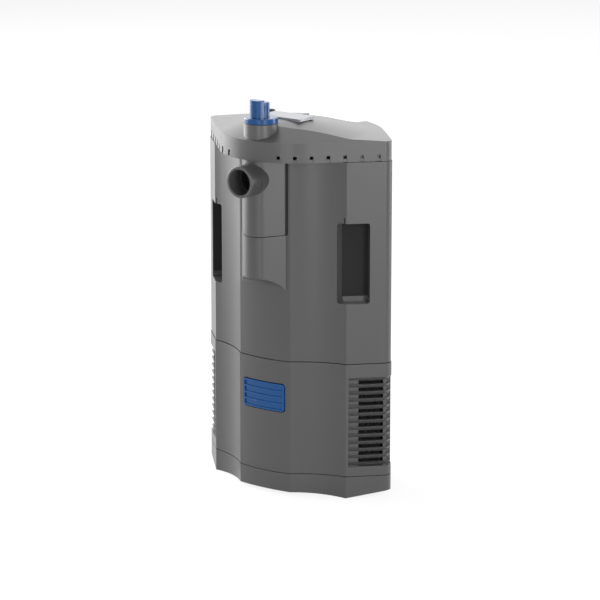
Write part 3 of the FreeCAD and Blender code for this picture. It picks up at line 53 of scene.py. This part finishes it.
CAMERA_PLACE = Vector((1.3892, -1.86825, 0.7286))
CAMERA_AIM = Vector((0.0508, -0.05955, 0.1634))
CAMERA_LENS = 187.0

camera_data = bpy.data.cameras.new("camera")
camera = bpy.data.objects.new("camera", camera_data)
scene.collection.objects.link(camera)
camera.location = CAMERA_PLACE
camera.rotation_euler = (CAMERA_AIM - CAMERA_PLACE).to_track_quat("-Z", "Y").to_euler()
camera_data.sensor_width = 36.0
camera_data.lens = CAMERA_LENS
camera_data.clip_start = 0.05
camera_data.clip_end = 50.0
scene.camera = camera
scene.view_settings.view_transform = "Standard"


# Materials


HALF_ROOT = math.sqrt(0.5)

# Inside of the right grip pocket, where shade is painted into the grey: across its bevel, along
# it, and up
POCKET_ACROSS = (0.0400, 0.0553)
POCKET_ALONG = (0.0305, 0.0545)
POCKET_RISE = (0.1570, 0.2195)
# How far the painted shade inside the grip pocket darkens the grey
POCKET_PAINTED_SHADE = 0.15

# Colour sockets of a Mix node, where several share one name
FIRST_COLOUR, SECOND_COLOUR, MIXED_COLOUR = 6, 7, 2


class Surface:
    """A principled material, with helpers that add procedural detail."""

    def __init__(self, name, rough, specular=0.5, metal=0.0):
        self.material = bpy.data.materials.new(name)
        self.material.use_nodes = True
        self.tree = self.material.node_tree
        self.shader = self.tree.nodes["Principled BSDF"]
        self.shader.inputs["Roughness"].default_value = rough
        self.shader.inputs["Specular IOR Level"].default_value = specular
        self.shader.inputs["Metallic"].default_value = metal
        self.coords = self.tree.nodes.new("ShaderNodeTexCoord").outputs["Object"]

    def noise(self, scale, detail=4.0, stretch=(1.0, 1.0, 1.0)):
        mapping = self.tree.nodes.new("ShaderNodeMapping")
        mapping.inputs["Scale"].default_value = stretch
        self.tree.links.new(self.coords, mapping.inputs["Vector"])
        texture = self.tree.nodes.new("ShaderNodeTexNoise")
        texture.inputs["Scale"].default_value = scale
        texture.inputs["Detail"].default_value = detail
        self.tree.links.new(mapping.outputs["Vector"], texture.inputs["Vector"])
        return texture.outputs["Fac"]

    def cells(self, scale):
        texture = self.tree.nodes.new("ShaderNodeTexVoronoi")
        texture.inputs["Scale"].default_value = scale
        self.tree.links.new(self.coords, texture.inputs["Vector"])
        return texture.outputs["Distance"]

    def ramp(self, factor, stops):
        node = self.tree.nodes.new("ShaderNodeValToRGB")
        elements = node.color_ramp.elements
        while len(elements) < len(stops):
            elements.new(0.5)
        for element, (place, colour) in zip(elements, stops):
            element.position = place
            element.color = (*colour, 1.0)
        self.tree.links.new(factor, node.inputs["Fac"])
        return node.outputs["Color"]

    def spread(self, factor, low, high):
        node = self.tree.nodes.new("ShaderNodeMapRange")
        node.inputs["To Min"].default_value = low
        node.inputs["To Max"].default_value = high
        self.tree.links.new(factor, node.inputs["Value"])
        return node.outputs["Result"]

    def set(self, socket, value):
        self.tree.links.new(value, self.shader.inputs[socket])

    def colour(self, factor, stops):
        self.set("Base Color", self.ramp(factor, stops))

    def roughness(self, factor, low, high):
        self.set("Roughness", self.spread(factor, low, high))

    def math(self, operation, first, second):
        node = self.tree.nodes.new("ShaderNodeMath")
        node.operation = operation
        for socket, value in zip(node.inputs, (first, second)):
            if isinstance(value, float):
                socket.default_value = value
            else:
                self.tree.links.new(value, socket)
        return node.outputs["Value"]

    def within(self, value, low, high):
        return self.math("MULTIPLY", self.math("GREATER_THAN", value, low),
                         self.math("LESS_THAN", value, high))

    def pocket_shade_mask(self):
        """1 inside each grip pocket, where shade is painted, 0 elsewhere."""
        parts = self.tree.nodes.new("ShaderNodeSeparateXYZ")
        self.tree.links.new(self.coords, parts.inputs["Vector"])
        aside = self.math("ABSOLUTE", parts.outputs["X"], 0.0)
        back = parts.outputs["Y"]
        across = self.math("MULTIPLY", self.math("SUBTRACT", aside, back), HALF_ROOT)
        along = self.math("MULTIPLY", self.math("ADD", aside, back), HALF_ROOT)
        plan = self.math("MULTIPLY", self.within(across, *POCKET_ACROSS),
                         self.within(along, *POCKET_ALONG))
        return self.math("MULTIPLY", plan, self.within(parts.outputs["Z"], *POCKET_RISE))

    def blend(self, factor, first, second):
        """The first colour where the factor is 0, and the second where it is 1."""
        mix = self.tree.nodes.new("ShaderNodeMix")
        mix.data_type = "RGBA"
        self.tree.links.new(factor, mix.inputs["Factor"])
        self.tree.links.new(first, mix.inputs[FIRST_COLOUR])
        mix.inputs[SECOND_COLOUR].default_value = (*second, 1.0)
        return mix.outputs[MIXED_COLOUR]

    def bump(self, factor, height):
        node = self.tree.nodes.new("ShaderNodeBump")
        node.inputs["Distance"].default_value = height
        node.inputs["Strength"].default_value = 1.0
        self.tree.links.new(factor, node.inputs["Height"])
        self.set("Normal", node.outputs["Normal"])


def shade(colour, factor):
    return tuple(min(1.0, channel * factor) for channel in colour)


GRAIN_SCALE = 2600.0
GRAIN_HEIGHT = 0.000006
FLOW_SCALE, FLOW_STRETCH = 9.0, (1.0, 1.0, 0.35)
SHEEN_SCALE, SHEEN_STRETCH = 14.0, (1.0, 1.0, 0.3)


def moulded_plastic(name, colour, rough, grain=GRAIN_HEIGHT, flow=0.04, specular=0.5,
                    painted_pocket_shade=False):
    """Injection-moulded plastic with a fine grain, faint flow marks and an uneven sheen.

    With its last option set, shade is painted darker inside each grip pocket, and the surface
    there is fully rough.
    """
    surface = Surface(name, rough, specular)
    stops = [(0.3, shade(colour, 1.0 - flow)), (0.7, shade(colour, 1.0 + flow))]
    skin = surface.ramp(surface.noise(FLOW_SCALE, 3.0, FLOW_STRETCH), stops)
    sheen = surface.spread(surface.noise(SHEEN_SCALE, 3.0, SHEEN_STRETCH),
                           rough - 0.02, rough + 0.03)
    if painted_pocket_shade:
        # Painted shade: the grey is darkened inside each grip pocket, which is also made fully
        # rough
        inside = surface.pocket_shade_mask()
        skin = surface.blend(inside, skin, shade(colour, POCKET_PAINTED_SHADE))
        sheen = surface.math("MAXIMUM", sheen, inside)
    surface.set("Base Color", skin)
    surface.set("Roughness", sheen)
    surface.bump(surface.noise(GRAIN_SCALE, 2.0), grain)
    return surface.material


def open_foam(name, colour, pore):
    """Open-cell foam: pale struts, with shade painted dark into the pores between them."""
    surface = Surface(name, 0.95, 0.1)
    cells = surface.cells(pore)
    # Painted shade: the colour darkens across each cell, standing in for the shade in the pores
    surface.colour(cells, [(0.05, shade(colour, 1.15)), (0.55, shade(colour, 0.25))])
    surface.bump(cells, 0.0012)
    return surface.material


def rubber(name, colour, rough=0.6):
    surface = Surface(name, rough, 0.3)
    surface.colour(surface.noise(70.0), [(0.3, shade(colour, 0.8)), (0.7, shade(colour, 1.2))])
    surface.roughness(surface.noise(180.0), rough - 0.08, rough + 0.08)
    surface.bump(surface.noise(900.0), 0.00002)
    return surface.material


def turned_steel(name, colour, rough):
    surface = Surface(name, rough, 0.5, 1.0)
    grain = surface.noise(300.0, 3.0, (1.0, 1.0, 12.0))
    surface.colour(grain, [(0.3, shade(colour, 0.85)), (0.7, shade(colour, 1.1))])
    surface.roughness(grain, rough - 0.08, rough + 0.1)
    surface.bump(grain, 0.00001)
    return surface.material


GREY = (0.040, 0.0385, 0.039)
# The housing grey made a little lighter for the lid: painted light, for the brighter reflection
# on the lid's top
LID_GREY_PAINTED_LIGHTER = (0.047, 0.0455, 0.046)
BLUE = (0.0005, 0.040, 0.140)
SILVER = (0.14, 0.148, 0.165)

PLAIN_PLASTICS = {
    "housing_grey": (GREY, 0.31),
    "inner_dark": ((0.012, 0.013, 0.015), 0.5),
    "motor_resin": ((0.010, 0.010, 0.012), 0.45),
    "ceramic": ((0.70, 0.69, 0.66), 0.25),
    "ferrite": ((0.03, 0.03, 0.034), 0.6),
}
FINISHES = {name: moulded_plastic(name, *look) for name, look in PLAIN_PLASTICS.items()}
FINISHES["control_blue"] = moulded_plastic("control_blue", BLUE, 0.26, grain=0.000008,
                                           flow=0.10, specular=0.3)
FINISHES["seal_rubber"] = rubber("seal_rubber", (0.012, 0.012, 0.013))
FINISHES["cup_rubber"] = rubber("cup_rubber", (0.035, 0.038, 0.042), 0.35)
FINISHES["foam_coarse"] = open_foam("foam_coarse", (0.020, 0.021, 0.024), 520.0)
FINISHES["foam_fine"] = open_foam("foam_fine", (0.55, 0.56, 0.53), 900.0)
FINISHES["steel"] = turned_steel("steel", (0.62, 0.62, 0.63), 0.3)

OWN_FINISHES = {
    # Lid in the lighter grey, which is painted light
    "lid_cover": moulded_plastic("lid_grey_painted_lighter", LID_GREY_PAINTED_LIGHTER, 0.33),
    "badge_plate": moulded_plastic("bare_plate", SILVER, 0.30, grain=0.00001, flow=0.03),
    # The housing grey, with shade painted inside each grip pocket
    "upper_housing": moulded_plastic("grey_with_painted_pocket_shade", GREY, 0.31, flow=0.06, painted_pocket_shade=True),
}


def paint(piece, material):
    piece.data.materials.clear()
    piece.data.materials.append(material)


for row in frame["record"]["subparts"]:
    finish = FINISHES[row["material_slot"]]
    paint(nodes[row["node"]], OWN_FINISHES.get(row["node"], finish))


# Softened edges on the moulded parts, as a mould leaves them


SHARP_EDGE = math.radians(35.0)


def soften(piece, width):
    bevel = piece.modifiers.new("mould_edge", "BEVEL")
    bevel.width = width
    bevel.segments = 2
    bevel.limit_method = "ANGLE"
    bevel.angle_limit = SHARP_EDGE
    bevel.use_clamp_overlap = True
    bevel.harden_normals = True


for name in ("lid_cover", "outlet_plate", "upper_housing", "lower_housing", "foot_cover"):
    soften(nodes[name], 0.00035)
for name in ("flow_knob", "release_button", "badge_plate"):
    soften(nodes[name], 0.0005)


# Foam blocks in place of their plain solids

FOAM_VOXEL = 0.0024
FOAM_SAG = 0.0007
LUMP_HEIGHT = 0.0005
LUMP_SCALE = 70.0


def foam_block(node, body, slot):
    """A cut foam block: rounded corners and slightly uneven faces, inside its solid's space."""
    rough_cut = bpy.data.objects.new("rough_cut", nodes[node].data.copy())
    scene.collection.objects.link(rough_cut)
    even = rough_cut.modifiers.new("even", "REMESH")
    even.mode = "VOXEL"
    even.voxel_size = FOAM_VOXEL
    graph = bpy.context.evaluated_depsgraph_get()
    mesh = bpy.data.meshes.new_from_object(rough_cut.evaluated_get(graph))
    bpy.data.objects.remove(rough_cut)
    for vertex in mesh.vertices:
        sag = FOAM_SAG + LUMP_HEIGHT * noise.noise(vertex.co * LUMP_SCALE)
        vertex.co -= vertex.normal * sag
    mesh.shade_smooth()
    piece = bpy.data.objects.new(node + "_block", mesh)
    scene.collection.objects.link(piece)
    paint(piece, FINISHES[slot])
    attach(piece, body)
    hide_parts(node)


foam_block("coarse_foam", "housing", "foam_coarse")
foam_block("fine_foam", "upper", "foam_fine")


# Button spring, a steel copy of its coil carried by the release button

spring = bpy.data.objects.new("spring_coil", nodes["button_spring"].data.copy())
scene.collection.objects.link(spring)
paint(spring, FINISHES["steel"])
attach(spring, "release")
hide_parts("button_spring")
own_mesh(spring)


# Floor and studio

WHITE = (1.0, 1.0, 1.0, 1.0)
FLOOR_HALF = 4.0
FLOOR_GLOW = 0.85
AMBIENT = 0.25


def studio_rays(tree, share):
    """The given share for camera, glossy and transmission rays, and 0 for the others."""
    path = tree.nodes.new("ShaderNodeLightPath")
    total = path.outputs["Is Camera Ray"]
    for ray in ("Is Glossy Ray", "Is Transmission Ray"):
        larger = tree.nodes.new("ShaderNodeMath")
        larger.operation = "MAXIMUM"
        tree.links.new(total, larger.inputs[0])
        tree.links.new(path.outputs[ray], larger.inputs[1])
        total = larger.outputs["Value"]
    part = tree.nodes.new("ShaderNodeMath")
    part.operation = "MULTIPLY"
    part.inputs[1].default_value = share
    tree.links.new(total, part.inputs[0])
    return part.outputs["Value"]


def mixed(tree, factor, first, second):
    """The first shader where the factor is 0, and the second where it is 1."""
    mix = tree.nodes.new("ShaderNodeMixShader")
    tree.links.new(factor, mix.inputs["Fac"])
    tree.links.new(first, mix.inputs[1])
    tree.links.new(second, mix.inputs[2])
    return mix.outputs["Shader"]


def pale_floor():
    """A plain floor, near white where it is lit, that keeps the object's soft shadow."""
    mesh = bpy.data.meshes.new("floor")
    corners = [(-FLOOR_HALF, -FLOOR_HALF, 0.0), (FLOOR_HALF, -FLOOR_HALF, 0.0),
               (FLOOR_HALF, FLOOR_HALF, 0.0), (-FLOOR_HALF, FLOOR_HALF, 0.0)]
    mesh.from_pydata(corners, [], [(0, 1, 2, 3)])
    plane = bpy.data.objects.new("floor", mesh)
    scene.collection.objects.link(plane)
    surface = Surface("floor_pale", 0.9, 0.2)
    surface.colour(surface.noise(3.0), [(0.3, (0.86, 0.86, 0.86)), (0.7, (0.9, 0.9, 0.9))])
    tree = surface.tree
    glow = tree.nodes.new("ShaderNodeEmission")
    glow.inputs["Color"].default_value = WHITE
    seen = mixed(tree, studio_rays(tree, FLOOR_GLOW), surface.shader.outputs["BSDF"],
                 glow.outputs["Emission"])
    tree.links.new(seen, tree.nodes["Material Output"].inputs["Surface"])
    mesh.materials.append(surface.material)


def white_studio():
    """Even soft light all round, which the camera and the gloss see as white."""
    world = bpy.data.worlds.new("studio")
    scene.world = world
    world.use_nodes = True
    tree = world.node_tree
    soft = tree.nodes["Background"]
    soft.inputs["Color"].default_value = WHITE
    soft.inputs["Strength"].default_value = AMBIENT
    white = tree.nodes.new("ShaderNodeBackground")
    white.inputs["Color"].default_value = WHITE
    white.inputs["Strength"].default_value = 1.0
    seen = mixed(tree, studio_rays(tree, 1.0), soft.outputs["Background"],
                 white.outputs["Background"])
    tree.links.new(seen, tree.nodes["World Output"].inputs["Surface"])


LAMP_AIM = Vector((0.0, 0.0, 0.16))
VIEW_ANGLE = math.atan2(CAMERA_PLACE.y - CAMERA_AIM.y, CAMERA_PLACE.x - CAMERA_AIM.x)


def softbox(name, turn, rise, distance, width, height, power):
    """A rectangular lamp; turn is in degrees to the camera's right, rise above the floor."""
    lamp = bpy.data.lights.new(name, "AREA")
    lamp.shape = "RECTANGLE"
    lamp.size = width
    lamp.size_y = height
    lamp.energy = power
    piece = bpy.data.objects.new(name, lamp)
    scene.collection.objects.link(piece)
    angle = VIEW_ANGLE + math.radians(turn)
    reach = distance * math.cos(math.radians(rise))
    piece.location = LAMP_AIM + Vector((reach * math.cos(angle), reach * math.sin(angle),
                                        distance * math.sin(math.radians(rise))))
    piece.rotation_euler = (LAMP_AIM - piece.location).to_track_quat("-Z", "Y").to_euler()
    piece.visible_camera = False


pale_floor()
white_studio()
softbox("left_window", -125.0, 12.0, 1.8, 1.8, 2.0, 110.0)
softbox("front_strip", -13.0, 6.0, 2.2, 0.22, 1.8, 20.0)
softbox("right_window", 27.0, 6.0, 2.2, 0.6, 1.8, 46.0)
softbox("edge_strip", 100.0, 8.0, 2.0, 0.5, 1.8, 55.0)
softbox("back_glow", 178.0, 30.0, 2.2, 3.0, 1.8, 20.0)
softbox("ceiling", -60.0, 78.0, 1.7, 1.4, 1.4, 8.0)
